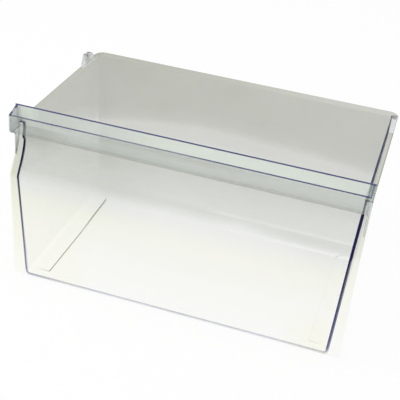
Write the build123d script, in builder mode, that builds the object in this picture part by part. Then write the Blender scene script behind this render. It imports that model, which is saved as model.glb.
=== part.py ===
from build123d import *
import os
from math import radians, tan

# A clear moulded drawer for a refrigerator or freezer.  Two mouldings make it:
# an open-fronted tub, and a front pane with a trough-shaped grip along its top.
# The members of each moulding that have a job of their own are separate pieces.
#
# Frame: origin at the middle of the box around the drawer, on the surface that
# it stands on.  +X is to the right seen from the front, +Y is the back, +Z up.

# ---------------------------------------------------------------- dimensions, mm
rim_height = 220.0          # rim of the tub above the surface
total_depth = 281.0         # front of the grip to the back edge of the rim flange
pane_width = 446.6          # the front pane, the widest piece
rim_width = 432.0           # over the outsides of the side walls, at the rim
wall = 2.2                  # thickness of every wall

side_draft = 2.3            # degrees that each side wall leans in towards the floor
back_draft = 0.3            # degrees that the back wall leans in towards the floor
edge_round = 5.0            # outside radius of the tub's floor edges and rear corners
skid_height = 2.0           # the floor's underside above the surface

flange_reach = 7.0          # rim flange beyond each side wall
back_flange_reach = 13.2    # rim flange beyond the back wall
flange_corner = 13.0        # radius of the flange's rear corners

# The line where the tub's front edges meet the back of the pane.  Depths are
# taken back from the front of the drawer, heights up from the surface.
foot_depth = 8.7
crease_depth, crease_height = 2.2, 155.5
knee_depth, knee_height = 25.4, 193.0
bend_depth, bend_height = 27.7, 216.0
top_depth, top_height = 22.4, 245.8
crease_radius = 3.5
knee_radius = 80.0
bend_radius = 12.0
rim_round = 0.9             # on the top rims of the pane and the trough

trough_width = 444.0        # over the outsides of the two end plates
trough_underside = 214.4    # height of the trough's underside
lip_height = 239.6          # top of the trough's front wall
lip_lean = 0.5              # the front wall's top stands this much further back
lip_corner = 5.0            # outside radius where the trough's floor turns up

gusset_depth = 14.2         # front edge of each gusset, back from the drawer's front
gusset_foot_height = 176.0  # inside the pane, where the gusset's front edge runs into it
gusset_back_depth = 22.1    # inside the pane at the knee's height

stop_width = 7.0            # rear stops: hollow wedges on the rim flange
stop_wall = 1.5
stop_start = 74.0           # where the stop's front ramp leaves the flange
stop_crest_front, stop_crest_rear = 84.0, 98.0
stop_front_rise, stop_rear_rise = 16.0, 14.8
stop_shoulder, stop_shoulder_rise = 112.0, 4.6
stop_end = 120.0

skid_inner, skid_outer = 180.5, 201.0
skid_front, skid_back = -115.0, 96.0
skid_rear_radius = 14.0
skid_front_radius = 2.0

# ---------------------------------------------------------------- derived places
front = -total_depth / 2
back_wall = total_depth / 2 - back_flange_reach
flange_half = rim_width / 2 + flange_reach
floor_top = skid_height + wall
plate_inside = trough_width / 2 - wall
beyond = 2 * total_depth    # runs a cut well clear of the drawer


def joint_line():
    """The S-shaped line, seen from the side, along which pane and tub meet."""
    return FilletPolyline(
        (front + foot_depth, skid_height),
        (front + crease_depth, crease_height),
        (front + knee_depth, knee_height),
        (front + bend_depth, bend_height),
        (front + top_depth, top_height),
        radius=[crease_radius, knee_radius, bend_radius],
    )


def tub_form(inset, bottom, top):
    """A box whose sides and back lean in towards its rounded floor edges.

    It stands `inset` inside the tub's outside at the sides and the back, and
    runs out in front of the drawer.
    """
    def half_width(height):
        return rim_width / 2 - inset - (rim_height - height) * tan(radians(side_draft))

    def rear(height):
        return back_wall - inset - (rim_height - height) * tan(radians(back_draft))

    with BuildPart() as form:
        with BuildSketch(Plane.XZ.offset(-beyond)):
            Polygon(
                (-half_width(bottom), bottom), (half_width(bottom), bottom),
                (half_width(top), top), (-half_width(top), top), align=None,
            )
        extrude(amount=2 * beyond)
        with BuildSketch(Plane.YZ.offset(-pane_width / 2)):
            Polygon(
                (rear(bottom), bottom), (rear(top), top),
                (-beyond, top), (-beyond, bottom), align=None,
            )
        extrude(amount=pane_width, mode=Mode.INTERSECT)
        floor_edges = form.faces().sort_by(Axis.Z)[0].edges().sort_by(Axis.Y)[1:]
        corner_edges = form.faces().sort_by(Axis.Y)[-1].edges().sort_by(Axis.Z)[1:3]
        fillet(floor_edges + corner_edges, radius=edge_round - inset)
    return form.part


# ---------------------------------------------------------------- the tub
with BuildPart() as tub:
    add(tub_form(0, skid_height, rim_height))
    with BuildSketch(Plane.XY.offset(rim_height - wall)):
        Rectangle(2 * flange_half, total_depth)
        fillet(vertices().group_by(Axis.Y)[-1], radius=flange_corner)
    extrude(amount=wall)
    with BuildSketch(Plane.YZ.offset(-pane_width / 2)):
        with BuildLine():
            meeting = joint_line()
            Polyline(
                meeting @ 1, (front + beyond, top_height),
                (front + beyond, skid_height), meeting @ 0,
            )
        make_face()
    extrude(amount=pane_width, mode=Mode.INTERSECT)
    add(tub_form(wall, floor_top, rim_height + wall), mode=Mode.SUBTRACT)

# ---------------------------------------------------------------- the front pane
with BuildPart() as front_pane:
    with BuildSketch(Plane.YZ.offset(-pane_width / 2)):
        with BuildLine():
            joint_line()
            offset(amount=wall, side=Side.LEFT)
        make_face()
    extrude(amount=pane_width)
    rim_edges = front_pane.faces().sort_by(Axis.Z)[-1].edges().filter_by(Axis.X)
    fillet(rim_edges, radius=rim_round)

# ---------------------------------------------------------------- the trough
# The lip is a J: the trough's floor, and the front wall that fingers hook over.
pane_middle = front + bend_depth - wall / 2
lip_top = (front + lip_lean, lip_height)

with BuildPart() as grip_lip:
    with BuildSketch(Plane.YZ.offset(-plate_inside)):
        with BuildLine():
            FilletPolyline(
                (pane_middle, trough_underside), (front, trough_underside), lip_top,
                radius=lip_corner,
            )
            offset(amount=wall, side=Side.RIGHT)
        make_face()
    extrude(amount=2 * plate_inside)
    add(front_pane.part, mode=Mode.SUBTRACT)
    fillet(grip_lip.faces().sort_by(Axis.Z)[-1].edges().filter_by(Axis.X), radius=rim_round)


with BuildPart() as grip_end:
    with BuildSketch(Plane.YZ.offset(-trough_width / 2)) as end_outline:
        Polygon(
            (pane_middle, trough_underside), (front, trough_underside), lip_top,
            (front + top_depth - wall, top_height), align=None,
        )
        lower_corners = end_outline.vertices().group_by(Axis.Y)[0]
        fillet(lower_corners.sort_by(Axis.X)[0], radius=lip_corner)
    extrude(amount=wall)
    add(front_pane.part, mode=Mode.SUBTRACT)

with BuildPart() as grip_gusset:
    with BuildSketch(Plane.YZ.offset(-trough_width / 2)):
        Polygon(
            (front + gusset_depth, trough_underside),
            (front + gusset_depth, gusset_foot_height),
            (front + gusset_back_depth, knee_height),
            (pane_middle, trough_underside), align=None,
        )
    extrude(amount=wall)
    add(front_pane.part, mode=Mode.SUBTRACT)

# ---------------------------------------------------------------- the rear stop
stop_crest_middle = (stop_crest_front + stop_crest_rear) / 2
stop_crest_length = stop_crest_rear - stop_crest_front

with BuildPart() as rear_stop:
    with BuildSketch(Plane.YZ.offset(-flange_half)):
        Polygon(
            (stop_start, rim_height),
            (stop_crest_front, rim_height + stop_front_rise),
            (stop_crest_rear, rim_height + stop_rear_rise),
            (stop_shoulder, rim_height + stop_shoulder_rise),
            (stop_end, rim_height), align=None,
        )
    extrude(amount=stop_width)
    with BuildSketch(Plane.XY.offset(rim_height + stop_wall)):
        with Locations((stop_width / 2 - flange_half, stop_crest_middle)):
            Rectangle(stop_width - 2 * stop_wall, stop_crest_length - 2 * stop_wall)
    extrude(amount=stop_front_rise, mode=Mode.SUBTRACT)

# ---------------------------------------------------------------- the skid
with BuildPart() as skid:
    with BuildSketch() as skid_outline:
        with Locations((-(skid_inner + skid_outer) / 2, (skid_front + skid_back) / 2)):
            Rectangle(skid_outer - skid_inner, skid_back - skid_front)
        inner_corners = skid_outline.vertices().group_by(Axis.X)[-1]
        fillet(inner_corners.sort_by(Axis.Y)[0], radius=skid_front_radius)
        inner_corners = skid_outline.vertices().group_by(Axis.X)[-1]
        fillet(inner_corners.sort_by(Axis.Y)[-1], radius=skid_rear_radius)
    extrude(amount=skid_height)

# ---------------------------------------------------------------- the whole drawer
# What stands at the left end has its mirror image at the right end.
pieces = {"tub": tub.part, "front_pane": front_pane.part, "grip_lip": grip_lip.part}
ends = {"grip_end": grip_end, "grip_gusset": grip_gusset, "rear_stop": rear_stop, "skid": skid}
for name, left in ends.items():
    with BuildPart() as right:
        mirror(left.part, about=Plane.YZ)
    pieces[f"{name}_left"] = left.part
    pieces[f"{name}_right"] = right.part

os.makedirs("parts", exist_ok=True)
for name, piece in pieces.items():
    piece.label = name
    export_step(piece, f"parts/{name}.step")
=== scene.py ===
import math
from contextlib import contextmanager

import bmesh
import bpy
from bpy.props import FloatProperty, FloatVectorProperty, PointerProperty
from mathutils import Matrix, Vector


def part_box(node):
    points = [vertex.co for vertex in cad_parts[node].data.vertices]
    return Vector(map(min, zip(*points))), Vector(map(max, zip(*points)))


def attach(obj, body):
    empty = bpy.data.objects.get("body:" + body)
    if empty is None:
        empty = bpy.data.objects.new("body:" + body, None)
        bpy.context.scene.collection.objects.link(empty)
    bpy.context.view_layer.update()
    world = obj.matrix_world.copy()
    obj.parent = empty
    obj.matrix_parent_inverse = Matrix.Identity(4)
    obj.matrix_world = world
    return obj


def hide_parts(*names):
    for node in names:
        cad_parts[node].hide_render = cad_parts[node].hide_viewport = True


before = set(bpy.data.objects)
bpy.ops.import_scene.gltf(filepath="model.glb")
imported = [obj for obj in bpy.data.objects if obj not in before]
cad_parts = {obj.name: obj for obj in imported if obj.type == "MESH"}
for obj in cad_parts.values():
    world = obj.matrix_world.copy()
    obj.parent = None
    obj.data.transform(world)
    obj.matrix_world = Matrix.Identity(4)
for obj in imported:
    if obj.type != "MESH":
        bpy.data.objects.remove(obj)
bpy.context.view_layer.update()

bl_info = {
    "name": "Clear Refrigerator Drawer",
    "version": (1, 0, 0),
    "blender": (4, 5, 0),
    "location": "View3D > Sidebar > Drawer",
    "description": "Dresses a clear moulded refrigerator drawer and sets it on a pale studio floor",
    "category": "Object",
}

MM = 0.001
TUB_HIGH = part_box("tub")[1]
PANE_LOW, PANE_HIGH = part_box("front_pane")
LIP_LOW, LIP_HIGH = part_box("grip_lip")
END_LOW, END_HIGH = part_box("grip_end_right")
ENDS = (("left", -END_HIGH.x, -END_LOW.x), ("right", END_LOW.x, END_HIGH.x))
FRONT = -0.1405  # the front of the trough, which is the front of the drawer
RIM = 0.22  # height of the tub's rim
WALL_AT_RIM = 0.2149  # from the middle of the drawer to the middle of a side wall, at the rim
WALL_LEAN = 0.0402  # how far a side wall leans in for each metre down
RIM_LINE_END = 0.127  # rear end of the dark line along the tub's right rim
SKID_INNER = 0.1805  # from the middle of the drawer to the inner edge of a skid
NO_RIM = 1.0  # a rim height above every outline
SAME_POINT = 0.002 * MM  # points closer than this are one


# ---- what a user may change
def length(name, description, default):
    return FloatProperty(
        name=name, description=description, default=default, min=0.0, unit="LENGTH", subtype="DISTANCE"
    )


def colour(name, description, default):
    return FloatVectorProperty(
        name=name, description=description, default=default, size=3, min=0.0, max=1.0, subtype="COLOR"
    )


def share(name, description, default):
    return FloatProperty(
        name=name, description=description, default=default, min=0.0, max=1.0, subtype="FACTOR"
    )


def spot(name, description, default):
    return FloatVectorProperty(
        name=name, description=description, default=default, size=3, unit="LENGTH", subtype="TRANSLATION"
    )


class DrawerSizes(bpy.types.PropertyGroup):
    """Sizes of the two mouldings that the dressed pieces share."""

    wall: length("Wall", "Thickness of every wall", 2.2 * MM)
    crease_radius: length("Crease", "Rounding where the pane starts to lean back", 3.5 * MM)
    knee_radius: length("Knee", "Sweep of the pane from its slope to its neck", 80 * MM)
    bend_radius: length("Bend", "Sweep of the pane where the trough starts", 12 * MM)
    rim_round: length("Rim rounding", "Rounding along the top rims", 0.9 * MM)
    lip_corner: length("Lip corner", "Outside rounding under the trough's front", 5 * MM)
    lip_lean: length("Lip lean", "How far back the top of the trough's front wall leans", 0.5 * MM)
    edge_round: length("Edge rounding", "Rounding along the other moulded edges", 0.35 * MM)
    tub_round: length("Tub rounding", "Rounding along the tub's and the gussets' edges", 0.6 * MM)
    stop_round: length("Stop rounding", "Rounding along the rear stops' edges", 0.5 * MM)
    flange_reach: length("Flange", "Reach of the rim flange beyond each side wall", 7 * MM)
    gusset_depth: length("Gusset", "How far back each gusset's front edge stands", 14.2 * MM)
    toe_start: length("Gusset toe", "Where the gusset's toe starts under the end plate", 5 * MM)
    toe_drop: length("Toe drop", "How far the toe has come down at the gusset's front edge", 7 * MM)
    edge_band: length("Edge band", "Depth of the blue along the top of each end plate", 1.2 * MM)
    weld_gap: length("Weld gap", "Room between the tub's front edge and the pane", 0.08 * MM)


class DrawerFinish(bpy.types.PropertyGroup):
    """Colours of the clear plastic, as the haze of each member shows them. Some of them carry painted shade,
    a painted glow and painted highlights.
    """

    tub_haze: colour("Tub", "Haze of the tub's walls", (0.2, 0.22, 0.12))
    pane_haze: colour("Pane, slope", "Haze of the front pane above its crease", (0.42, 0.46, 0.38))
    pane_foot_haze: colour("Pane, foot", "Haze of the front pane below its crease", (0.68, 0.71, 0.12))
    # Painted glow: a pale, creamy haze for the pane's lower corners.
    pane_glow_haze: colour("Pane, foot ends", "Haze of the pane near its lower corners", (0.85, 0.865, 0.05))
    # Painted shade: a darker copy of the top band's haze, for its left end.
    pane_top_left_shade: colour("Pane, top left", "Haze of the top band near its left end", (0.77, 0.815, 0.77))
    pane_top_right: colour("Pane, top right", "Haze of the rest of the top band", (0.875, 0.94, 0.865))
    ear_haze: colour("Ears, top", "Haze of the pane past the side walls, higher up", (0.34, 0.36, 0.16))
    ear_foot_haze: colour("Ears, foot", "Haze of the pane past the side walls, low down", (0.6, 0.62, 0.03))
    trough_haze: colour("Trough", "Haze of the grip trough", (0.42, 0.48, 0.44))
    # Painted shade: a darker haze for the rounding under the trough's front wall.
    fold_shade: colour("Trough, fold", "Haze in the rounding under its front wall", (0.26, 0.28, 0.22))
    left_end_haze: colour("Left end", "Haze of the trough's left end plate", (0.52, 0.56, 0.535))
    right_end_haze: colour("Right end", "Haze of the trough's right end plate", (0.7, 0.76, 0.86))
    stop_haze: colour("Left stop", "Haze of the left rear stop", (0.56, 0.58, 0.575))
    # Painted shade and highlight: a darker haze for the right stop, and a pale one for its front ramp.
    stop_shade: colour("Right stop", "Haze of the right rear stop", (0.42, 0.45, 0.43))
    stop_light: colour("Right stop, ramp", "Haze of the right rear stop's front ramp", (0.8, 0.83, 0.81))
    stop_line: colour("Stop outline", "Colour of the dark line along each stop's crest", (0.1, 0.1, 0.11))
    edge_dark: colour("Edge, top", "Colour that gathers in the upper edges", (0.006, 0.005, 0.07))
    edge_pale: colour("Edge, foot", "Colour of the same edges near the floor", (0.13, 0.16, 0.34))
    rim_blue: colour("Rims", "Colour along the tops of pane, trough and end plates", (0.06, 0.07, 0.18))
    outline: colour("Outline", "Colour of the fine line along rounded edges", (0.2, 0.22, 0.24))
    tub_outline: colour("Tub outline", "Colour of the same line on the tub", (0.12, 0.13, 0.14))
    skid_line: colour("Skid outline", "Colour of the skids' moulded edge", (0.03, 0.035, 0.03))
    gloss: share("Gloss", "Roughness of the plastic where it isn't scuffed", 0.06)


class DrawerStage(bpy.types.PropertyGroup):
    """The floor, the light and the camera's stand."""

    camera_place: spot("Camera", "Where the camera stands", (0.25497, -1.01933, 0.73861))
    camera_turn: FloatVectorProperty(
        name="Camera turn", description="How the camera is turned",
        default=(math.radians(58.4993), math.radians(-4.9058), math.radians(17.5575)),
        size=3, unit="ROTATION", subtype="EULER",
    )
    camera_lens: FloatProperty(
        name="Lens", description="Focal length on a 36 mm sensor, in millimetres", default=80.984, min=1.0
    )
    sky_light: FloatProperty(
        name="Sky", description="Strength of the even light all round", default=0.9, min=0.0
    )
    lamp_power: FloatProperty(
        name="Lamp", description="Power of the soft lamp in watts", default=8.0, min=0.0
    )
    lamp_size: length("Lamp size", "Width of the soft lamp", 1.4)
    lamp_place: spot("Lamp place", "Where the soft lamp hangs", (-0.7, -0.5, 1.8))
    floor_reach: length("Floor reach", "How far the studio floor goes each way", 8.0)
    floor_drop: length("Floor drop", "Room between the drawer and the studio floor", 0.3 * MM)
    floor_colour: colour("Floor", "Colour of the studio floor", (0.93, 0.93, 0.93))
    floor_glow: share("Floor glow", "Share of the floor that shows as plain white paper", 0.86)


def sizes():
    return bpy.context.scene.drawer_sizes


def look():
    return bpy.context.scene.drawer_finish


# ---- nodes and shader maths
def plug(tree, socket, value):
    """Links value to socket, or writes it there. A node stands for its first output."""
    if isinstance(value, Varying):
        value = value.source
    if isinstance(value, bpy.types.Node):
        value = value.outputs[0]
    if isinstance(value, bpy.types.NodeSocket):
        tree.links.new(value, socket)
    elif hasattr(socket.default_value, "__len__") and len(socket.default_value) == 4 and len(value) == 3:
        socket.default_value = (*value, 1.0)
    else:
        socket.default_value = value


def add_node(tree, kind, settings=None, sockets=None):
    """Adds a node. Its settings, such as a ramp's stops, come before the values of its sockets."""
    node = tree.nodes.new(kind)
    for name, value in (settings or {}).items():
        if name == "stops":
            set_stops(node.color_ramp.elements, value)
        else:
            setattr(node, name, value)
    for name, value in (sockets or {}).items():
        plug(tree, node.inputs[name], value)
    return node


def set_stops(line, stops):
    """Gives a new ramp its grey (place, level) stops. The first and the last are at its ends."""
    for element, (_, level) in zip((line[0], line[1]), (stops[0], stops[-1])):
        element.color = (level, level, level, 1.0)
    for place, level in stops[1:-1]:
        line.new(place).color = (level, level, level, 1.0)


class Varying:
    """A number that changes over a surface, so that sums and products can be written with it."""

    def __init__(self, tree, source):
        self.tree, self.source = tree, source

    def math(self, operation, *values, clamp=False):
        settings = {"operation": operation, "use_clamp": clamp}
        return Varying(self.tree, add_node(self.tree, "ShaderNodeMath", settings, dict(enumerate(values))))

    def __add__(self, other):
        return self.math("ADD", self, other)

    def __sub__(self, other):
        return self.math("SUBTRACT", self, other)

    def __rsub__(self, other):
        return self.math("SUBTRACT", other, self)

    def __mul__(self, other):
        return self.math("MULTIPLY", self, other)

    def __truediv__(self, other):
        return self.math("DIVIDE", self, other)

    def __abs__(self):
        return self.math("ABSOLUTE", self)

    __radd__ = __add__
    __rmul__ = __mul__

    def root(self):
        return self.math("SQRT", self)

    def most(self, other):
        return self.math("MAXIMUM", self, other)

    def clipped(self):
        return self.math("ADD", self, 0.0, clamp=True)

    def over(self, other):
        """How much two see-through layers hide together."""
        return self + (1.0 - self) * other

    def towards(self, other, part):
        """This number where part is 0, the other where it is 1, and a mixture between."""
        return self + (other - self) * part

    def rise(self, low, high):
        """0 below low, 1 above high, and a smooth rise between them."""
        settings = {"interpolation_type": "SMOOTHSTEP"}
        sockets = {"Value": self, "From Min": low, "From Max": high}
        return Varying(self.tree, add_node(self.tree, "ShaderNodeMapRange", settings, sockets))

    def fall(self, low, high):
        """1 below low, 0 above high, and a smooth fall between them."""
        return 1.0 - self.rise(low, high)

    def within(self, start, full, last, end):
        """1 from full to last, 0 before start and after end, and smooth between them."""
        return self.rise(start, full) * self.fall(last, end)

    def levels(self, *stops):
        """A number read off a line through (place, level) stops, with places in rising order."""
        low, high = stops[0][0], stops[-1][0]
        shares = [((place - low) / (high - low), level) for place, level in stops]
        sockets = {"Value": self, "From Min": low, "From Max": high}
        reach = add_node(self.tree, "ShaderNodeMapRange", sockets=sockets)
        ramp = add_node(self.tree, "ShaderNodeValToRGB", {"stops": shares}, {"Fac": reach})
        return Varying(self.tree, ramp)

    def lengths(self, *stops):
        """A length in metres off a line through (place, millimetres) stops, from -8 to 8 mm."""
        span = 16.0
        return (self.levels(*((place, 0.5 + size / span) for place, size in stops)) - 0.5) * (span * MM)


class Plastic:
    """A material with one Principled shader, and the place on the drawer that its pattern reads."""

    def __init__(self, name):
        self.material = bpy.data.materials.new(name)
        self.material.use_nodes = True
        self.tree = self.material.node_tree
        self.shader = self.tree.nodes["Principled BSDF"]
        self.place = add_node(self.tree, "ShaderNodeTexCoord").outputs["Object"]
        self.x, self.y, self.z = self.parts(self.place)

    def parts(self, vector):
        """The three numbers of a place or a direction."""
        axes = add_node(self.tree, "ShaderNodeSeparateXYZ", sockets={"Vector": vector})
        return [Varying(self.tree, output) for output in axes.outputs]

    def right_half(self):
        """0 on the drawer's left half and 1 on its right half."""
        return self.x.rise(-0.01, 0.01)

    def noise(self, scale, detail=2.0, shares=(1.0, 1.0, 1.0)):
        """A cloudy pattern, with scale cells to the metre times the share of each axis."""
        place = add_node(self.tree, "ShaderNodeMapping", sockets={"Vector": self.place, "Scale": shares})
        sockets = {"Vector": place, "Scale": scale, "Detail": detail}
        return Varying(self.tree, add_node(self.tree, "ShaderNodeTexNoise", sockets=sockets))

    def blended(self, first, second, factor):
        """A colour between two. A Mix node's colours are its sockets 6 and 7, and its result is 2."""
        sockets = {0: factor, 6: first, 7: second}
        return add_node(self.tree, "ShaderNodeMix", {"data_type": "RGBA"}, sockets).outputs[2]

    def glance(self):
        """More of the surface shows where it is seen edge on, as on any clear plastic."""
        facing = add_node(self.tree, "ShaderNodeLayerWeight", sockets={"Blend": 0.5})
        edge_on = Varying(self.tree, facing.outputs["Facing"])
        return edge_on.math("POWER", edge_on, 5.0)

    def melt_waves(self):
        """Faint waves that the melt leaves in a moulded wall."""
        waves = self.noise(9.0, detail=1.5, shares=(1.0, 1.0, 0.35))
        sockets = {"Strength": 0.05, "Distance": 2.0 * MM, "Height": waves}
        return add_node(self.tree, "ShaderNodeBump", sockets=sockets)

    def set(self, **values):
        """Sets the shader's sockets, and gives back the material."""
        for name, value in values.items():
            plug(self.tree, self.shader.inputs[name.replace("_", " ")], value)
        return self.material

    def clouded(self, cover):
        """A cover that is a little uneven, as in any cloudy melt."""
        return cover * (0.94 + 0.12 * self.noise(14.0))

    def clear(self, tint, cover, **more):
        """Clear plastic, of which one face hides cover of what is behind it, and more at a glance."""
        return self.set(
            Base_Color=tint,
            Roughness=look().gloss + 0.05 * self.noise(160.0, detail=4.0),
            Alpha=cover.over(0.6 * self.glance()).clipped(),
            Normal=self.melt_waves(),
            IOR=1.5,
            **more,
        )


def tub_plastic():
    plastic = Plastic("clear_tub_plastic")
    x, y, z = plastic.x, plastic.y, plastic.z
    # Painted reflection: the back wall is grey above a soft line and lighter below it. The line hangs lower
    # towards the wall's ends, and the grey deepens towards the left.
    sag = x.levels(
        (-0.2233, 0.66), (-0.21, 0.59), (-0.18, 0.41), (-0.13, 0.205), (-0.09, 0.075), (-0.053, 0.0),
        (0.0, 0.0), (0.025, 0.035), (0.1, 0.1375), (0.158, 0.25), (0.2233, 0.4),
    )
    back = (z + 0.04 * sag).levels(
        (0.0, 0.03), (0.05, 0.05), (0.1, 0.15), (0.108, 0.19), (0.118, 0.232), (0.1365, 0.247),
        (0.1395, 0.262), (0.1445, 0.298), (0.15, 0.322), (0.165, 0.342), (0.245, 0.35),
    )
    back = back - 0.05 * x - 0.05 * x.clipped()
    # The same painted reflection on the side walls: their grey ends along a line that comes down towards the
    # back.
    slant = z + 0.25 * y + 0.008 * y.rise(0.06, 0.118)
    side = slant.levels((0.0, 0.005), (0.12, 0.02), (0.142, 0.08), (0.166, 0.27), (0.185, 0.31), (0.26, 0.32))
    walls = side.towards(back, y.rise(0.119, 0.1215))
    floor = y.levels((-0.14, 0.004), (0.09, 0.03), (0.119, 0.055))
    floor = floor - 0.028 * y.rise(0.08, 0.1) * x.within(-0.02, 0.03, 0.08, 0.115)
    plain = walls.towards(floor, z.fall(0.0045, 0.009))
    behind = y.rise(0.1255, 0.1275)
    flange = 0.06 * x.fall(-0.215, -0.2135) + 0.22 * x.rise(0.2212, 0.2218) * (1.0 - behind)
    flange = flange + behind * (0.04 - 0.07 * x.rise(-0.15, 0.15))
    plain = plain + z.rise(0.2165, 0.2178) * flange
    # A stop's foot and the flange lie in one plane, so the flange hides nothing there.
    under_stop = abs(x).rise(0.2158, 0.2162) * y.within(0.0738, 0.0742, 0.1198, 0.1202)
    plain = plain * (1.0 - under_stop * z.rise(0.2195, 0.2198))
    # Painted highlight: the fold at the floor's rear is left clear on the right, so it shows as a bright
    # line.
    fold_highlight = y.rise(0.1206, 0.1214) * z.fall(0.0062, 0.0072)
    plain = plain * (1.0 - fold_highlight * x.rise(-0.06, 0.01))
    return plastic.clear(look().tub_haze, plastic.clouded(plain))


class PanePlastic(Plastic):
    """The pane's plastic. It is darkest blue where the tub's front edges are welded to it."""

    def __init__(self):
        super().__init__("clear_pane_plastic")
        x, z = self.x, self.z
        self.right = self.right_half()
        self.past_wall = abs(x) - (WALL_AT_RIM - WALL_LEAN * (RIM - z))
        self.ears = self.past_wall.rise(0.0, 0.0018)
        self.top_band = z.rise(0.225, 0.2258)
        # Painted glow: the pane's lower corners, at both ends, are painted paler and creamier.
        lower_ends = x.levels(
            (-0.2233, 1.0), (-0.14, 1.0), (-0.11, 0.0), (0.14, 0.0), (0.19, 1.0), (0.2233, 1.0)
        )
        self.glow = lower_ends * z.fall(0.05 - 0.02 * self.right, 0.11 - 0.04 * self.right)

    def cover(self):
        """How much the pane hides without its weld: between the side walls, and on the ears past them."""
        x, z = self.x, self.z
        middle = z.levels(
            (0.0, 0.012), (0.06, 0.025), (0.11, 0.05), (0.1525, 0.085), (0.1555, 0.11), (0.1655, 0.235),
            (0.205, 0.3), (0.2144, 0.16), (0.2166, 0.3), (0.2215, 0.33), (0.225, 0.25), (0.2256, 0.5),
            (0.246, 0.5),
        )
        near_ends = z.levels(
            (0.08, 0.0), (0.1, 0.01), (0.125, 0.03), (0.152, 0.055), (0.158, 0.05), (0.212, 0.05),
            (0.2144, 0.0),
        )
        slope = z.rise(0.1495, 0.153)
        left_end = x.levels((-0.22, 1.0), (-0.1, 1.0), (-0.02, 0.0), (0.22, 0.0))
        right_end = 0.7 * x.rise(0.12, 0.18) * (1.0 - slope)
        middle = middle + near_ends * (left_end + right_end) - slope * (0.12 * x + 0.04 * x.clipped())
        middle = middle + 0.28 * self.top_band * x.fall(-0.205, -0.185)
        middle = middle + 0.07 * x.rise(0.07, 0.13) * z.within(0.1545, 0.1575, 0.16, 0.168)
        middle = middle - 0.12 * x.fall(-0.212, -0.185) * z.within(0.17, 0.19, 0.212, 0.2144)
        # Painted glow: the lower corners hide a little more, with the pale haze of the glow.
        middle = middle + (0.02 + 0.02 * self.right) * self.glow
        left_ear = z.levels(
            (0.0, 0.03), (0.06, 0.09), (0.1, 0.13), (0.152, 0.19), (0.16, 0.29), (0.212, 0.31),
            (0.216, 0.42), (0.246, 0.4),
        )
        in_from_edge = (PANE_HIGH.x - abs(x)).rise(0.0, 0.0022)
        left_ear = left_ear * in_from_edge.over(z.rise(0.212, 0.216))
        right_ear = z.levels(
            (0.0, 0.02), (0.06, 0.05), (0.1, 0.07), (0.152, 0.11), (0.16, 0.18), (0.19, 0.18),
            (0.212, 0.22), (0.216, 0.42), (0.246, 0.4),
        )
        return middle.towards(left_ear.towards(right_ear, self.right), self.ears)

    def weld_line(self):
        """1 on the weld, which runs down each side wall and round a corner along the floor."""
        z, right = self.z, self.right
        left_centre = z.lengths(
            (0.0, -1.9), (0.036, -1.9), (0.052, -1.65), (0.068, -1.3), (0.084, -0.95), (0.1, -0.65),
            (0.116, -0.5), (0.132, -0.35), (0.148, -0.16), (0.152, -0.2), (0.158, -0.5), (0.164, -0.75),
            (0.168, -1.05), (0.172, -1.4), (0.188, -1.4), (0.1975, -1.15), (0.2, 0.9), (0.203, 0.8),
            (0.2085, -0.1), (0.214, -0.3), (0.246, -0.3),
        )
        right_centre = 0.8 * MM - 0.25 * MM * z.rise(0.155, 0.165)
        centre = left_centre.towards(right_centre, right)
        left_width = 0.7 * MM + 0.35 * MM * z.rise(0.2, 0.203)
        right_width = z.lengths(
            (0.0, 1.5), (0.15, 1.5), (0.156, 1.35), (0.185, 1.45), (0.2, 1.5), (0.203, 0.5), (0.246, 0.5)
        )
        width = left_width.towards(right_width, right)
        corner, floor_line = 3.9 * MM, 3.0 * MM
        out = (self.past_wall - centre + corner).most(0.0)
        down = (corner + floor_line - z).most(0.0)
        from_line = abs((out * out + down * down).root() - corner)
        line = from_line.fall(width, width + 0.6 * MM) * z.fall(0.2205, 0.2212)
        # At the rim the weld turns outwards in a short hook, along the edge of the flange.
        hook_end = 0.0052 - 0.0028 * right
        hook = z.within(0.2191, 0.2195, 0.2207, 0.2212)
        hook = hook * self.past_wall.within(-0.0016, -0.001, hook_end, hook_end + 0.0012)
        return line.most(hook)

    def weld(self):
        """How strongly the blue of the weld shows."""
        left_wall = self.z.levels(
            (0.0, 0.0), (0.005, 0.0), (0.008, 0.3), (0.036, 0.32), (0.06, 0.42), (0.09, 0.48),
            (0.15, 0.5), (0.1565, 1.0), (0.246, 1.0),
        )
        right_wall = self.z.levels(
            (0.0, 0.0), (0.005, 0.0), (0.012, 0.48), (0.04, 0.64), (0.1, 0.58), (0.15, 0.46),
            (0.1565, 1.0), (0.246, 1.0),
        )
        floor = self.x.levels(
            (-0.2233, 0.38), (-0.19, 0.36), (-0.16, 0.22), (-0.08, 0.12), (0.0, 0.11), (0.05, 0.07),
            (0.15, 0.08), (0.2233, 0.16),
        )
        strength = left_wall.towards(right_wall, self.right) + floor * self.z.fall(0.005, 0.009)
        return self.weld_line() * strength.clipped()

    def tint(self, weld, hidden):
        """The haze of each part of the pane, with painted shade near the top band's left end, and the blue of
        the weld over it.
        """
        x, z, colours = self.x, self.z, look()
        # Painted glow near the lower corners, over the foot's haze.
        foot = self.blended(colours.pane_foot_haze, colours.pane_glow_haze, self.glow)
        tint = self.blended(foot, colours.pane_haze, z.rise(0.11, 0.153))
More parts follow.
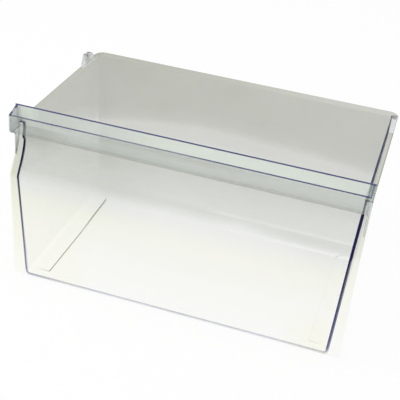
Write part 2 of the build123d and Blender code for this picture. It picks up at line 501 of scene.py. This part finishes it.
        # Painted shade: towards the left end, the top band and the pane behind the trough take the darker
        # copy of the top haze.
        rightwards = x.levels(
            (-0.2233, 0.9), (-0.205, 0.9), (-0.19, 0.1), (-0.11, 0.0), (-0.05, 0.8), (0.0, 1.0), (0.2233, 1.0)
        )
        top = self.blended(colours.pane_top_left_shade, colours.pane_top_right, rightwards)
        behind_trough = z.rise(0.2144, 0.2166) * x.levels(
            (-0.2233, 1.0), (-0.17, 1.0), (-0.11, 0.1), (-0.05, 0.0), (0.03, 0.0), (0.12, 0.3), (0.2233, 0.3)
        )
        tint = self.blended(tint, top, behind_trough.most(self.top_band))
        ear = self.blended(colours.ear_foot_haze, colours.ear_haze, z.rise(0.09, 0.19))
        ear = self.blended(ear, colours.trough_haze, z.rise(0.212, 0.216))
        tint = self.blended(tint, ear, self.ears)
        left_depth = z.levels((0.0, 0.0), (0.09, 0.3), (0.156, 1.0), (0.246, 1.0))
        right_depth = z.levels((0.0, 0.0), (0.03, 0.4), (0.09, 0.65), (0.156, 1.0), (0.246, 1.0))
        depth = left_depth.towards(right_depth, self.right)
        blue = self.blended(colours.edge_pale, colours.edge_dark, depth)
        return self.blended(tint, blue, (weld / hidden).most(weld.rise(0.0, 0.3)))


def pane_plastic():
    pane = PanePlastic()
    weld = pane.weld()
    hidden = pane.clouded(pane.cover()).over(weld)
    return pane.clear(pane.tint(weld, hidden), hidden, Specular_IOR_Level=0.15)


def trough_plastic():
    plastic = Plastic("clear_trough_plastic")
    y, z = plastic.y, plastic.z
    wall = z.levels((0.214, 0.12), (0.226, 0.1), (0.24, 0.09)) * (0.5 + 0.5 * plastic.x.rise(-0.21, -0.2))
    plain = wall.towards(0.12, y.rise(FRONT + 0.0025, FRONT + 0.0035))
    # Painted shade: the rounding under the front wall is darker and hides more.
    under_front = z.fall(0.2148, 0.2205) * y.fall(FRONT + 0.0045, FRONT + 0.0065)
    haze = plastic.blended(look().trough_haze, look().fold_shade, under_front)
    return plastic.clear(haze, plastic.clouded(plain.towards(0.54, under_front)))


def end_plate_plastic():
    plastic = Plastic("end_plate_plastic")
    right = plastic.right_half()
    left_cover = plastic.z.levels((0.214, 0.6), (0.229, 0.6), (0.238, 0.48), (0.246, 0.48))
    haze = plastic.blended(look().left_end_haze, look().right_end_haze, right)
    return plastic.clear(haze, plastic.clouded(left_cover.towards(0.3, right)))


def gusset_plastic():
    plastic = Plastic("gusset_plastic")
    left_cover = plastic.z.levels((0.176, 0.8), (0.186, 0.45), (0.2, 0.3), (0.215, 0.22))
    left_cover = left_cover + 0.2 * plastic.y.fall(FRONT + 0.0138, FRONT + 0.0146)
    return plastic.clear(look().trough_haze, plastic.clouded(left_cover.towards(0.1, plastic.right_half())))


def stop_plastic():
    plastic = Plastic("stop_plastic")
    x, y, z, right = plastic.x, plastic.y, plastic.z, plastic.right_half()
    # Painted highlight: the right stop's front ramp is paler and hides more.
    ramp = right * y.fall(0.0835, 0.0845)
    # The left stop shows dark strokes: its two crest edges and its shoulder's inner end.
    crest_edges = abs(y - 0.0848).fall(0.0009, 0.0013) + abs(y - 0.0972).fall(0.0009, 0.0013)
    crest_edges = crest_edges * (z + 0.086 * (y - 0.084)).rise(0.2351, 0.2355)
    shoulder = abs(y - 0.1105).fall(0.0008, 0.0014) * x.rise(-0.22, -0.2192) * z.rise(0.223, 0.2235)
    strokes = (crest_edges + shoulder) * (1.0 - right)
    foot = z.rise(0.22003, 0.2202) * (0.65 + 0.35 * z.rise(0.2202, 0.224))
    cover = (0.42 * foot.over(right) + 0.3 * ramp).towards(0.85, strokes)
    # Painted shade: the right stop takes a darker haze than the left one.
    haze = plastic.blended(look().stop_haze, look().stop_shade, right)
    haze = plastic.blended(haze, look().stop_light, ramp)
    haze = plastic.blended(haze, look().stop_line, strokes)
    return plastic.clear(haze, plastic.clouded(cover))


def outline_plastic(name, level, tint=None):
    """The fine line that a rounded edge shows. level(plastic) gives its strength from place to place."""
    plastic = Plastic(name)
    worn = plastic.noise(35.0, detail=3.0)
    return plastic.set(
        Base_Color=tint or look().outline,
        Roughness=0.08 + 0.08 * worn,
        Alpha=(level(plastic) * (0.6 + 0.8 * worn)).clipped(),
        IOR=1.5,
    )


def skid_plastic():
    """Only the skids' inner edges show, as a thin line. The left one's runs outwards to the back."""
    plastic = Plastic("skid_plastic")
    geometry = add_node(plastic.tree, "ShaderNodeNewGeometry")
    _, back, up = plastic.parts(geometry.outputs["Normal"])
    wear = plastic.noise(120.0, detail=3.0)
    right = plastic.right_half()
    outwards = plastic.y.rise(-0.01, 0.03) * (1.0 - right)
    line = abs(up).fall(0.3, 0.7) * abs(plastic.x).fall(0.186, 0.2)
    line = line * (1.0 - 0.75 * back.fall(-0.8, -0.3)) * (1.0 - 0.6 * right) * (1.0 - 0.9 * outwards)
    out = plastic.y.lengths((-0.12, 0.5), (-0.01, 0.5), (0.037, 1.3), (0.066, 1.8), (0.1, 2.4))
    slanted = abs(abs(plastic.x) - SKID_INNER - out).fall(0.45 * MM, 0.75 * MM)
    line = line + 0.65 * up.rise(0.3, 0.7) * slanted * outwards
    return plastic.set(
        Base_Color=look().skid_line,
        Roughness=0.12 + 0.1 * wear,
        Alpha=(0.005 + line * (0.95 + 0.1 * wear)).clipped(),
        IOR=1.5,
    )


def edge_plastic(name, cover, top=None):
    """The blue that gathers in an edge, deep near the rim and paler towards the floor."""
    colours = look()
    plastic = Plastic(name)
    height = plastic.z.levels((0.0, 0.0), (0.09, 0.28), (0.15, 0.95), (0.246, 1.0))
    streaks = plastic.noise(60.0, detail=2.0, shares=(0.25, 1.0, 1.0))
    return plastic.set(
        Base_Color=plastic.blended(colours.edge_pale, top or colours.edge_dark, height),
        Roughness=0.1 + 0.08 * streaks,
        Alpha=(cover(plastic) * (0.9 + 0.2 * streaks)).clipped(),
        IOR=1.5,
        Specular_IOR_Level=0.1,
    )


# ---- outlines
def seen_from_side(depth, height):
    """A point of a side view: millimetres back from the front and up from the floor."""
    return Vector((FRONT + depth * MM, height * MM))


def rounded(points, radii, steps=10):
    """The run of points with every inner corner turned into an arc of its radius."""
    run = [points[0]]
    for before, corner, after, radius in zip(points, points[1:], points[2:], radii):
        back, on = (before - corner).normalized(), (after - corner).normalized()
        half_turn = (math.pi - back.angle(on)) / 2
        reach = radius * math.tan(half_turn)
        middle = corner + (back + on).normalized() * radius / math.cos(half_turn)
        first, last = corner + back * reach - middle, corner + on * reach - middle
        turn = first.angle_signed(last)
        for step in range(steps + 1):
            run.append(middle + Matrix.Rotation(-turn * step / steps, 2) @ first)
    return [*run, points[-1]]


def beside(run, distance):
    """The run moved sideways by distance, to its left."""
    moved = []
    for at, point in enumerate(run):
        along = run[min(at + 1, len(run) - 1)] - run[max(at - 1, 0)]
        along.normalize()
        moved.append(point + Vector((-along.y, along.x)) * distance)
    return moved


def rounded_end(line, wall, radius, steps=6):
    """The rounded top of a wall that stands to the left of a line, from its right face to its left."""
    along = (line[-1] - line[-2]).normalized()
    across = Vector((-along.y, along.x))
    cap = []
    for out, start in ((radius, math.pi), (wall - radius, math.pi / 2)):
        middle = line[-1] + across * out - along * radius
        for step in range(steps + 1):
            angle = start - math.pi / 2 * step / steps
            cap.append(middle + across * radius * math.cos(angle) + along * radius * math.sin(angle))
    return cap


def joint_line():
    """The line, seen from the side, where the tub's front edges meet the pane."""
    foot, crease, knee = seen_from_side(8.7, 2.0), seen_from_side(2.2, 155.5), seen_from_side(25.4, 193.0)
    bend, top = seen_from_side(27.7, 216.0), seen_from_side(22.4, 245.8)
    radii = [sizes().crease_radius, sizes().knee_radius, sizes().bend_radius]
    return rounded([foot, crease, knee, bend, top], radii)


def face_at(height):
    """How far back the pane's front face stands at a height."""
    face = beside(joint_line(), sizes().wall)
    for low, high in zip(face, face[1:]):
        if low.y <= height <= high.y:
            return low.x + (high.x - low.x) * (height - low.y) / (high.y - low.y)
    raise ValueError(f"the pane has no face at {height} m")


def face_between(low, high, step=1.5 * MM):
    """Points down the pane's front face from one height to another."""
    count = max(2, round((high - low) / step))
    heights = [high - (high - low) * i / count for i in range(count + 1)]
    return [Vector((face_at(height), height)) for height in heights]


# ---- strips: one outline, drawn along X
def strip_tree():
    """Draws a closed outline along X as a capped bar, and gives its rim a finish of its own."""
    tree = bpy.data.node_groups.new("Moulded strip", "GeometryNodeTree")
    tree.interface.new_socket("Geometry", in_out="OUTPUT", socket_type="NodeSocketGeometry")
    for name, kind in (
        ("Geometry", "Geometry"), ("Left end", "Float"), ("Right end", "Float"), ("Rim height", "Float"),
        ("Wall finish", "Material"), ("Rim finish", "Material"),
    ):
        tree.interface.new_socket(name, in_out="INPUT", socket_type=f"NodeSocket{kind}")
    given = add_node(tree, "NodeGroupInput").outputs
    left = add_node(tree, "ShaderNodeCombineXYZ", sockets={"X": given["Left end"]})
    right = add_node(tree, "ShaderNodeCombineXYZ", sockets={"X": given["Right end"]})
    line = add_node(tree, "GeometryNodeCurvePrimitiveLine", sockets={"Start": left, "End": right})
    upright = add_node(tree, "GeometryNodeSetCurveNormal", {"mode": "Z_UP"}, {"Curve": line})
    sockets = {"Curve": upright, "Profile Curve": given["Geometry"], "Fill Caps": True}
    bar = add_node(tree, "GeometryNodeCurveToMesh", sockets=sockets)
    place = add_node(tree, "GeometryNodeInputPosition")
    axes = add_node(tree, "ShaderNodeSeparateXYZ", sockets={"Vector": place})
    sockets = {"A": axes.outputs["Z"], "B": given["Rim height"]}
    above = add_node(tree, "FunctionNodeCompare", {"operation": "GREATER_THAN"}, sockets)
    real = add_node(tree, "GeometryNodeRealizeInstances", sockets={"Geometry": bar})
    sockets = {"Geometry": real, "Material": given["Wall finish"]}
    wall = add_node(tree, "GeometryNodeSetMaterial", sockets=sockets)
    sockets = {"Geometry": wall, "Selection": above, "Material": given["Rim finish"]}
    rim = add_node(tree, "GeometryNodeSetMaterial", sockets=sockets)
    add_node(tree, "NodeGroupOutput", sockets={"Geometry": rim})
    return tree


def strip(name, outline, left, right, rim_height, wall_finish, rim_finish):
    """A piece whose outline, seen from the side, is the same all along its width."""
    curve = bpy.data.curves.new(f"{name}_outline", "CURVE")
    curve.dimensions = "3D"
    spline = curve.splines.new("POLY")
    spline.points.add(len(outline) - 1)
    for point, seen in zip(spline.points, outline):
        point.co = (-seen.x, -seen.y, 0.0, 1.0)
    spline.use_cyclic_u = True
    drawn = placed(curve)
    tree = bpy.data.node_groups.get("Moulded strip") or strip_tree()
    modifier = drawn.modifiers.new("Moulded strip", "NODES")
    modifier.node_group = tree
    values = {
        "Left end": left, "Right end": right, "Rim height": rim_height,
        "Wall finish": wall_finish, "Rim finish": rim_finish,
    }
    for item in tree.interface.items_tree:
        if item.in_out == "INPUT" and item.name in values:
            modifier[item.identifier] = values[item.name]
    mesh = bpy.data.meshes.new_from_object(drawn.evaluated_get(bpy.context.evaluated_depsgraph_get()))
    mesh.name = name
    bpy.data.objects.remove(drawn)
    bpy.data.curves.remove(curve)
    with reshaped(mesh) as shape:
        bmesh.ops.remove_doubles(shape, verts=shape.verts, dist=SAME_POINT)
        bmesh.ops.recalc_face_normals(shape, faces=shape.faces)
    return placed(mesh)


# ---- meshes and pieces
@contextmanager
def reshaped(mesh):
    """Opens a mesh for changes to its shape, and writes them back."""
    shape = bmesh.new()
    shape.from_mesh(mesh)
    yield shape
    shape.to_mesh(mesh)
    shape.free()


def placed(data):
    """Puts a mesh, curve, lamp or camera into the scene, under its own name."""
    thing = bpy.data.objects.new(data.name, data)
    bpy.context.scene.collection.objects.link(thing)
    return thing


def merged_copy(node, name):
    """A node's mesh as one skin, with its flat faces whole again, open for changes."""
    shape = bmesh.new()
    shape.from_mesh(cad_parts[node].data)
    bmesh.ops.remove_doubles(shape, verts=shape.verts, dist=SAME_POINT)
    bmesh.ops.dissolve_limit(
        shape, angle_limit=math.radians(0.5), verts=shape.verts, edges=shape.edges, delimit={"NORMAL"}
    )
    return shape, bpy.data.meshes.new(name)


def round_edges(piece, outline, width, kept_sharp=()):
    """Rounds every sharp edge that doesn't touch a face in one of the finishes kept_sharp."""
    mesh = piece.data
    slots = {mesh.materials.find(material.name) for material in kept_sharp}
    mesh.materials.append(outline)
    with reshaped(mesh) as shape:
        weight = shape.edges.layers.float.new("bevel_weight_edge")
        for edge in shape.edges:
            if edge.is_manifold and edge.calc_face_angle() > math.radians(40):
                if not any(face.material_index in slots for face in edge.link_faces):
                    edge[weight] = 1.0
        for face in shape.faces:
            face.smooth = True
    mesh.set_sharp_from_angle(angle=math.radians(30))
    bevel = piece.modifiers.new("Moulded edges", "BEVEL")
    bevel.limit_method = "WEIGHT"
    bevel.width, bevel.segments = width, 2
    bevel.miter_outer = "MITER_ARC"
    bevel.material = mesh.materials.find(outline.name)


def band_along(piece, start, end, material):
    """Gives what lies above a line, seen from the side from start to end, a finish of its own."""
    along = (end - start).normalized()
    up = Vector((-along.y, along.x))
    mesh = piece.data
    with reshaped(mesh) as shape:
        bmesh.ops.bisect_plane(
            shape, geom=[*shape.verts, *shape.edges, *shape.faces], dist=SAME_POINT,
            plane_co=(0.0, start.x, start.y), plane_no=(0.0, up.x, up.y),
        )
    if material.name not in mesh.materials:
        mesh.materials.append(material)
    slot = mesh.materials.find(material.name)
    for face in mesh.polygons:
        if (Vector((face.center.y, face.center.z)) - start).dot(up) > 0.0:
            face.material_index = slot


def settle(piece, node):
    """Puts a finished piece in the place of its plain node."""
    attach(piece, "root")
    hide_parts(node)


class DRAWER_OT_tub(bpy.types.Operator):
    """Dress the open-fronted tub, with the dark line along its front edges and right rim"""

    bl_idname = "drawer.tub"
    bl_label = "Tub"

    def execute(self, context):
        shape, mesh = merged_copy("tub", "tub_shell")
        outside = TUB_HIGH.x - sizes().flange_reach
        line_inside, line_outside = outside - sizes().wall - 1.0 * MM, outside + 0.7 * MM
        for place, way in (
            ((line_inside, 0, 0), (1, 0, 0)), ((line_outside, 0, 0), (1, 0, 0)),
            ((0, RIM_LINE_END, 0), (0, 1, 0)),
        ):
            top = [face for face in shape.faces if self.on_rim(face)]
            around = {edge for face in top for edge in face.edges}
            corners = {vert for edge in around for vert in edge.verts}
            bmesh.ops.bisect_plane(
                shape, geom=[*top, *around, *corners], dist=0.01 * MM, plane_co=place, plane_no=way
            )
        joint = joint_line()
        on_joint = {vert for vert in shape.verts if self.on_joint(vert.co, joint)}
        shape.normal_update()
        front_slot, rim_slot = 1, 2
        for face in shape.faces:
            middle = face.calc_center_median()
            if all(vert in on_joint for vert in face.verts):
                face.material_index = front_slot
            elif self.on_rim(face) and line_inside < middle.x < line_outside and middle.y < RIM_LINE_END:
                face.material_index = rim_slot
        for vert in on_joint:
            vert.co.y += sizes().weld_gap
        shape.to_mesh(mesh)
        shape.free()
        front = edge_plastic("tub_front_edge", self.front_edge_cover)
        rim = edge_plastic("tub_rim_edge", lambda p: 0.92)
        for material in (tub_plastic(), front, rim):
            mesh.materials.append(material)
        piece = placed(mesh)
        outline = outline_plastic("tub_outline", self.outline_level, tint=look().tub_outline)
        round_edges(piece, outline, sizes().tub_round, kept_sharp=(front, rim))
        settle(piece, "tub")
        return {"FINISHED"}

    @staticmethod
    def on_rim(face):
        """True for a face on the flat top of the rim."""
        return face.normal.z > 0.9 and face.calc_center_median().z > TUB_HIGH.z - 0.1 * MM

    @staticmethod
    def on_joint(point, joint):
        """True where a point of the tub lies on the joint with the pane."""
        slack, near = 0.05 * MM, 0.12 * MM
        for low, high in zip(joint, joint[1:]):
            if low.y - slack <= point.z <= high.y + slack:
                at = 0.0 if high.y == low.y else (point.z - low.y) / (high.y - low.y)
                if abs(point.y - (low.x + (high.x - low.x) * at)) < near:
                    return True
        return False

    @staticmethod
    def front_edge_cover(plastic):
        """The front edges are pale along the floor and deepest at the rim."""
        return plastic.z.levels((0.0, 0.35), (0.0045, 0.4), (0.012, 0.85), (0.16, 1.0), (0.22, 1.0))

    @staticmethod
    def outline_level(plastic):
        """The line is strongest along the flange's outer edges, and behind the back wall on the left."""
        x = plastic.x
        sides = 0.2 + 0.8 * x.rise(0.22, 0.222) + 0.35 * x.fall(-0.222, -0.22)
        return sides + plastic.y.rise(0.138, 0.14) * (0.45 - 0.6 * x.rise(-0.15, 0.0))


class DRAWER_OT_pane(bpy.types.Operator):
    """Dress the front pane, with its blue top rim"""

    bl_idname = "drawer.pane"
    bl_label = "Front pane"

    def execute(self, context):
        line = joint_line()
        top = rounded_end(line, sizes().wall, sizes().rim_round)
        face = beside(line, sizes().wall)
        outline = line[:-1] + top + face[-2::-1]
        rim = edge_plastic("pane_rim", lambda p: 0.95, top=look().rim_blue)
        rim_height = PANE_HIGH.z - 1.6 * MM
        piece = strip(
            "front_pane_moulding", outline, PANE_LOW.x, PANE_HIGH.x, rim_height, pane_plastic(), rim
        )
        faint = outline_plastic("pane_outline", self.outline_level)
        round_edges(piece, faint, sizes().edge_round, kept_sharp=(rim,))
        settle(piece, "front_pane")
        return {"FINISHED"}

    @staticmethod
    def outline_level(plastic):
        """The line is faint, but for the right end above the crease."""
        return 0.06 + plastic.right_half() * (0.04 + 0.2 * plastic.z.rise(0.15, 0.16))


class DRAWER_OT_trough(bpy.types.Operator):
    """Dress the trough-shaped grip: its floor and front wall, and the plate at each end"""

    bl_idname = "drawer.trough"
    bl_label = "Grip trough"

    def execute(self, context):
        wall, corner, edge_round = sizes().wall, sizes().lip_corner, sizes().edge_round
        under, top = LIP_LOW.z, LIP_HIGH.z
        front_foot, front_top = Vector((FRONT, under)), Vector((FRONT + sizes().lip_lean, top))
        back = face_at(under + wall) - 0.02 * MM
        outside = rounded([Vector((back, under)), front_foot, front_top], [corner])
        inside = beside(outside, -wall)
        outline = inside[:-1] + rounded_end(inside, wall, sizes().rim_round) + outside[-2::-1]
        rim = edge_plastic("trough_rim", self.rim_cover, top=look().rim_blue)
        line = outline_plastic("trough_outline", self.outline_level)
        rim_height = top - 1.7 * MM
        piece = strip("grip_trough", outline, LIP_LOW.x, LIP_HIGH.x, rim_height, trough_plastic(), rim)
        round_edges(piece, line, edge_round, kept_sharp=(rim,))
        settle(piece, "grip_lip")

        plate_top, top_corner = 245.2 * MM, 0.3 * MM
        back_foot, back_top = Vector((face_at(under), under)), Vector((face_at(plate_top), plate_top))
        plate = rounded([back_foot, front_foot, front_top, back_top], [corner, top_corner])
        plate += face_between(under, plate_top)[1:-1]
        plastic, below = end_plate_plastic(), Vector((0.0, -sizes().edge_band))
        top_edge = edge_plastic("end_plate_edge", self.plate_edge_cover, top=look().rim_blue)
        for side, low, high in ENDS:
            piece = strip(f"grip_end_plate_{side}", plate, low, high, NO_RIM, plastic, top_edge)
            band_along(piece, front_top + below, back_top + below, top_edge)
            round_edges(piece, line, edge_round, kept_sharp=(top_edge,))
            settle(piece, f"grip_end_{side}")
        return {"FINISHED"}

    @staticmethod
    def rim_cover(plastic):
        """The rim of the front wall is palest left of the middle."""
        return plastic.x.levels(
            (-0.222, 0.65), (-0.205, 0.75), (-0.18, 0.9), (-0.165, 0.95), (-0.125, 0.8), (-0.09, 0.62),
            (0.0, 0.62), (0.03, 0.85), (0.222, 1.0),
        )

    @staticmethod
    def outline_level(plastic):
        """The line is strong in front and faint further back."""
        return 0.6 - 0.5 * plastic.y.rise(FRONT + 0.005, FRONT + 0.007)

    @staticmethod
    def plate_edge_cover(plastic):
        """The left plate's top edge is dark at its ends and pale between them. The right one's is even."""
        left = plastic.y.levels(
            (-0.14, 0.95), (-0.1345, 0.9), (-0.1325, 0.45), (-0.1275, 0.45), (-0.1255, 0.9), (-0.118, 0.95)
        )
        return left.towards(0.5, plastic.right_half())


class DRAWER_OT_gussets(bpy.types.Operator):
    """Dress the thin wedge under each end of the trough"""

    bl_idname = "drawer.gussets"
    bl_label = "Gussets"

    def execute(self, context):
        under = LIP_LOW.z
        depth, toe = FRONT + sizes().gusset_depth, FRONT + sizes().toe_start
        foot = under
        while face_at(foot) > depth:
            foot -= 0.25 * MM
        outline = [
            Vector((face_at(under), under)), Vector((toe, under)), Vector((depth, under - sizes().toe_drop)),
            Vector((depth, foot)), *face_between(foot, under)[-2:0:-1],
        ]
        plastic = gusset_plastic()
        line = outline_plastic("gusset_outline", lambda p: 1.0 - 0.4 * p.right_half())
        for side, low, high in ENDS:
            piece = strip(f"grip_gusset_wedge_{side}", outline, low, high, NO_RIM, plastic, plastic)
            round_edges(piece, line, sizes().tub_round)
            settle(piece, f"grip_gusset_{side}")
        return {"FINISHED"}


class DRAWER_OT_stops(bpy.types.Operator):
    """Dress the hollow wedge at the rear of each rim flange"""

    bl_idname = "drawer.stops"
    bl_label = "Rear stops"

    def execute(self, context):
        plastic = stop_plastic()
        line = outline_plastic("stop_outline", self.outline_level, tint=look().stop_line)
        for side in ("left", "right"):
            shape, mesh = merged_copy(f"rear_stop_{side}", f"rear_stop_wedge_{side}")
            shape.to_mesh(mesh)
            shape.free()
            mesh.materials.append(plastic)
            piece = placed(mesh)
            round_edges(piece, line, sizes().stop_round)
            settle(piece, f"rear_stop_{side}")
        return {"FINISHED"}

    @staticmethod
    def outline_level(plastic):
        """The line shows along the two ends of the crest, and less on the right stop."""
        along_sides = plastic.y.within(0.0858, 0.0866, 0.0954, 0.0962)
        return plastic.z.rise(0.2305, 0.234) * (1.0 - along_sides) * (1.0 - 0.7 * plastic.right_half())


class DRAWER_OT_skids(bpy.types.Operator):
    """Finish the two low skids under the floor"""

    bl_idname = "drawer.skids"
    bl_label = "Skids"

    def execute(self, context):
        plastic = skid_plastic()
        for side in ("left", "right"):
            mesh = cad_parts[f"skid_{side}"].data
            mesh.materials.clear()
            mesh.materials.append(plastic)
        return {"FINISHED"}


# ---- the studio
def direct_sight(tree):
    """1 for what the camera, a gloss or clear plastic sees, and 0 for light that falls on things."""
    path = add_node(tree, "ShaderNodeLightPath")
    seen = Varying(tree, path.outputs["Is Camera Ray"])
    return seen.most(path.outputs["Is Glossy Ray"]).most(path.outputs["Is Transmission Ray"])


class DRAWER_OT_studio(bpy.types.Operator):
    """Set the drawer on a pale floor in soft light, and stand the camera at the photograph's angle"""

    bl_idname = "drawer.studio"
    bl_label = "Studio"

    def execute(self, context):
        scene, stage = context.scene, context.scene.drawer_stage
        scene.view_settings.view_transform = "Standard"
        scene.cycles.max_bounces = 24
        scene.cycles.transparent_max_bounces = 48

        scene.world = bpy.data.worlds.new("studio_sky")
        scene.world.use_nodes = True
        tree = scene.world.node_tree
        sky = tree.nodes["Background"]
        plug(tree, sky.inputs["Color"], (1.0, 1.0, 1.0))
        plug(tree, sky.inputs["Strength"], stage.sky_light + (1.0 - stage.sky_light) * direct_sight(tree))

        mesh = bpy.data.meshes.new("studio_floor")
        with reshaped(mesh) as shape:
            bmesh.ops.create_grid(shape, x_segments=8, y_segments=8, size=stage.floor_reach)
            for vert in shape.verts:
                vert.co.z -= stage.floor_drop
        mesh.materials.append(self.floor_paper(stage))
        floor = placed(mesh)

        lamp = bpy.data.lights.new("soft_lamp", "AREA")
        lamp.shape, lamp.size, lamp.energy = "DISK", stage.lamp_size, stage.lamp_power
        hung = placed(lamp)
        hung.location = stage.lamp_place
        hung.rotation_euler = (-hung.location).to_track_quat("-Z", "Y").to_euler()

        camera = bpy.data.cameras.new("camera")
        camera.sensor_width, camera.lens = 36.0, stage.camera_lens
        camera.clip_start, camera.clip_end = 0.05, 50.0
        stand = placed(camera)
        stand.location, stand.rotation_euler = stage.camera_place, stage.camera_turn
        scene.camera = stand
        return {"FINISHED"}

    @staticmethod
    def floor_paper(stage):
        """Matt pale paper that takes shadows, and shows mostly as plain white."""
        paper = bpy.data.materials.new("floor_paper")
        paper.use_nodes = True
        tree = paper.node_tree
        matt = tree.nodes["Principled BSDF"]
        plug(tree, matt.inputs["Base Color"], stage.floor_colour)
        plug(tree, matt.inputs["Roughness"], 0.9)
        plug(tree, matt.inputs["Specular IOR Level"], 0.0)
        glow = add_node(tree, "ShaderNodeEmission")
        sockets = {0: stage.floor_glow * direct_sight(tree), 1: matt, 2: glow}
        mixer = add_node(tree, "ShaderNodeMixShader", sockets=sockets)
        plug(tree, tree.nodes["Material Output"].inputs["Surface"], mixer)
        return paper


class DRAWER_PT_panel(bpy.types.Panel):
    """The pieces of the drawer, in the order in which they are made"""

    bl_label = "Refrigerator drawer"
    bl_idname = "DRAWER_PT_panel"
    bl_space_type = "VIEW_3D"
    bl_region_type = "UI"
    bl_category = "Drawer"

    def draw(self, context):
        layout = self.layout
        for step in STEPS:
            layout.operator(step.bl_idname)
        for group in (context.scene.drawer_sizes, context.scene.drawer_finish, context.scene.drawer_stage):
            box = layout.box()
            for name in type(group).__annotations__:
                box.prop(group, name)


STEPS = (
    DRAWER_OT_studio,
    DRAWER_OT_tub,
    DRAWER_OT_pane,
    DRAWER_OT_trough,
    DRAWER_OT_gussets,
    DRAWER_OT_stops,
    DRAWER_OT_skids,
)
GROUPS = {"drawer_sizes": DrawerSizes, "drawer_finish": DrawerFinish, "drawer_stage": DrawerStage}


def register():
    for kind in (*GROUPS.values(), *STEPS, DRAWER_PT_panel):
        bpy.utils.register_class(kind)
    for name, kind in GROUPS.items():
        setattr(bpy.types.Scene, name, PointerProperty(type=kind))


def unregister():
    for name in GROUPS:
        delattr(bpy.types.Scene, name)
    for kind in reversed((*GROUPS.values(), *STEPS, DRAWER_PT_panel)):
        bpy.utils.unregister_class(kind)


def main():
    register()
    for left_over in ("Cube", "Light", "Camera"):
        if left_over in bpy.data.objects:
            bpy.data.objects.remove(bpy.data.objects[left_over])
    for step in STEPS:
        space, name = step.bl_idname.split(".")
        getattr(getattr(bpy.ops, space), name)()


if __name__ == "__main__":
    main()
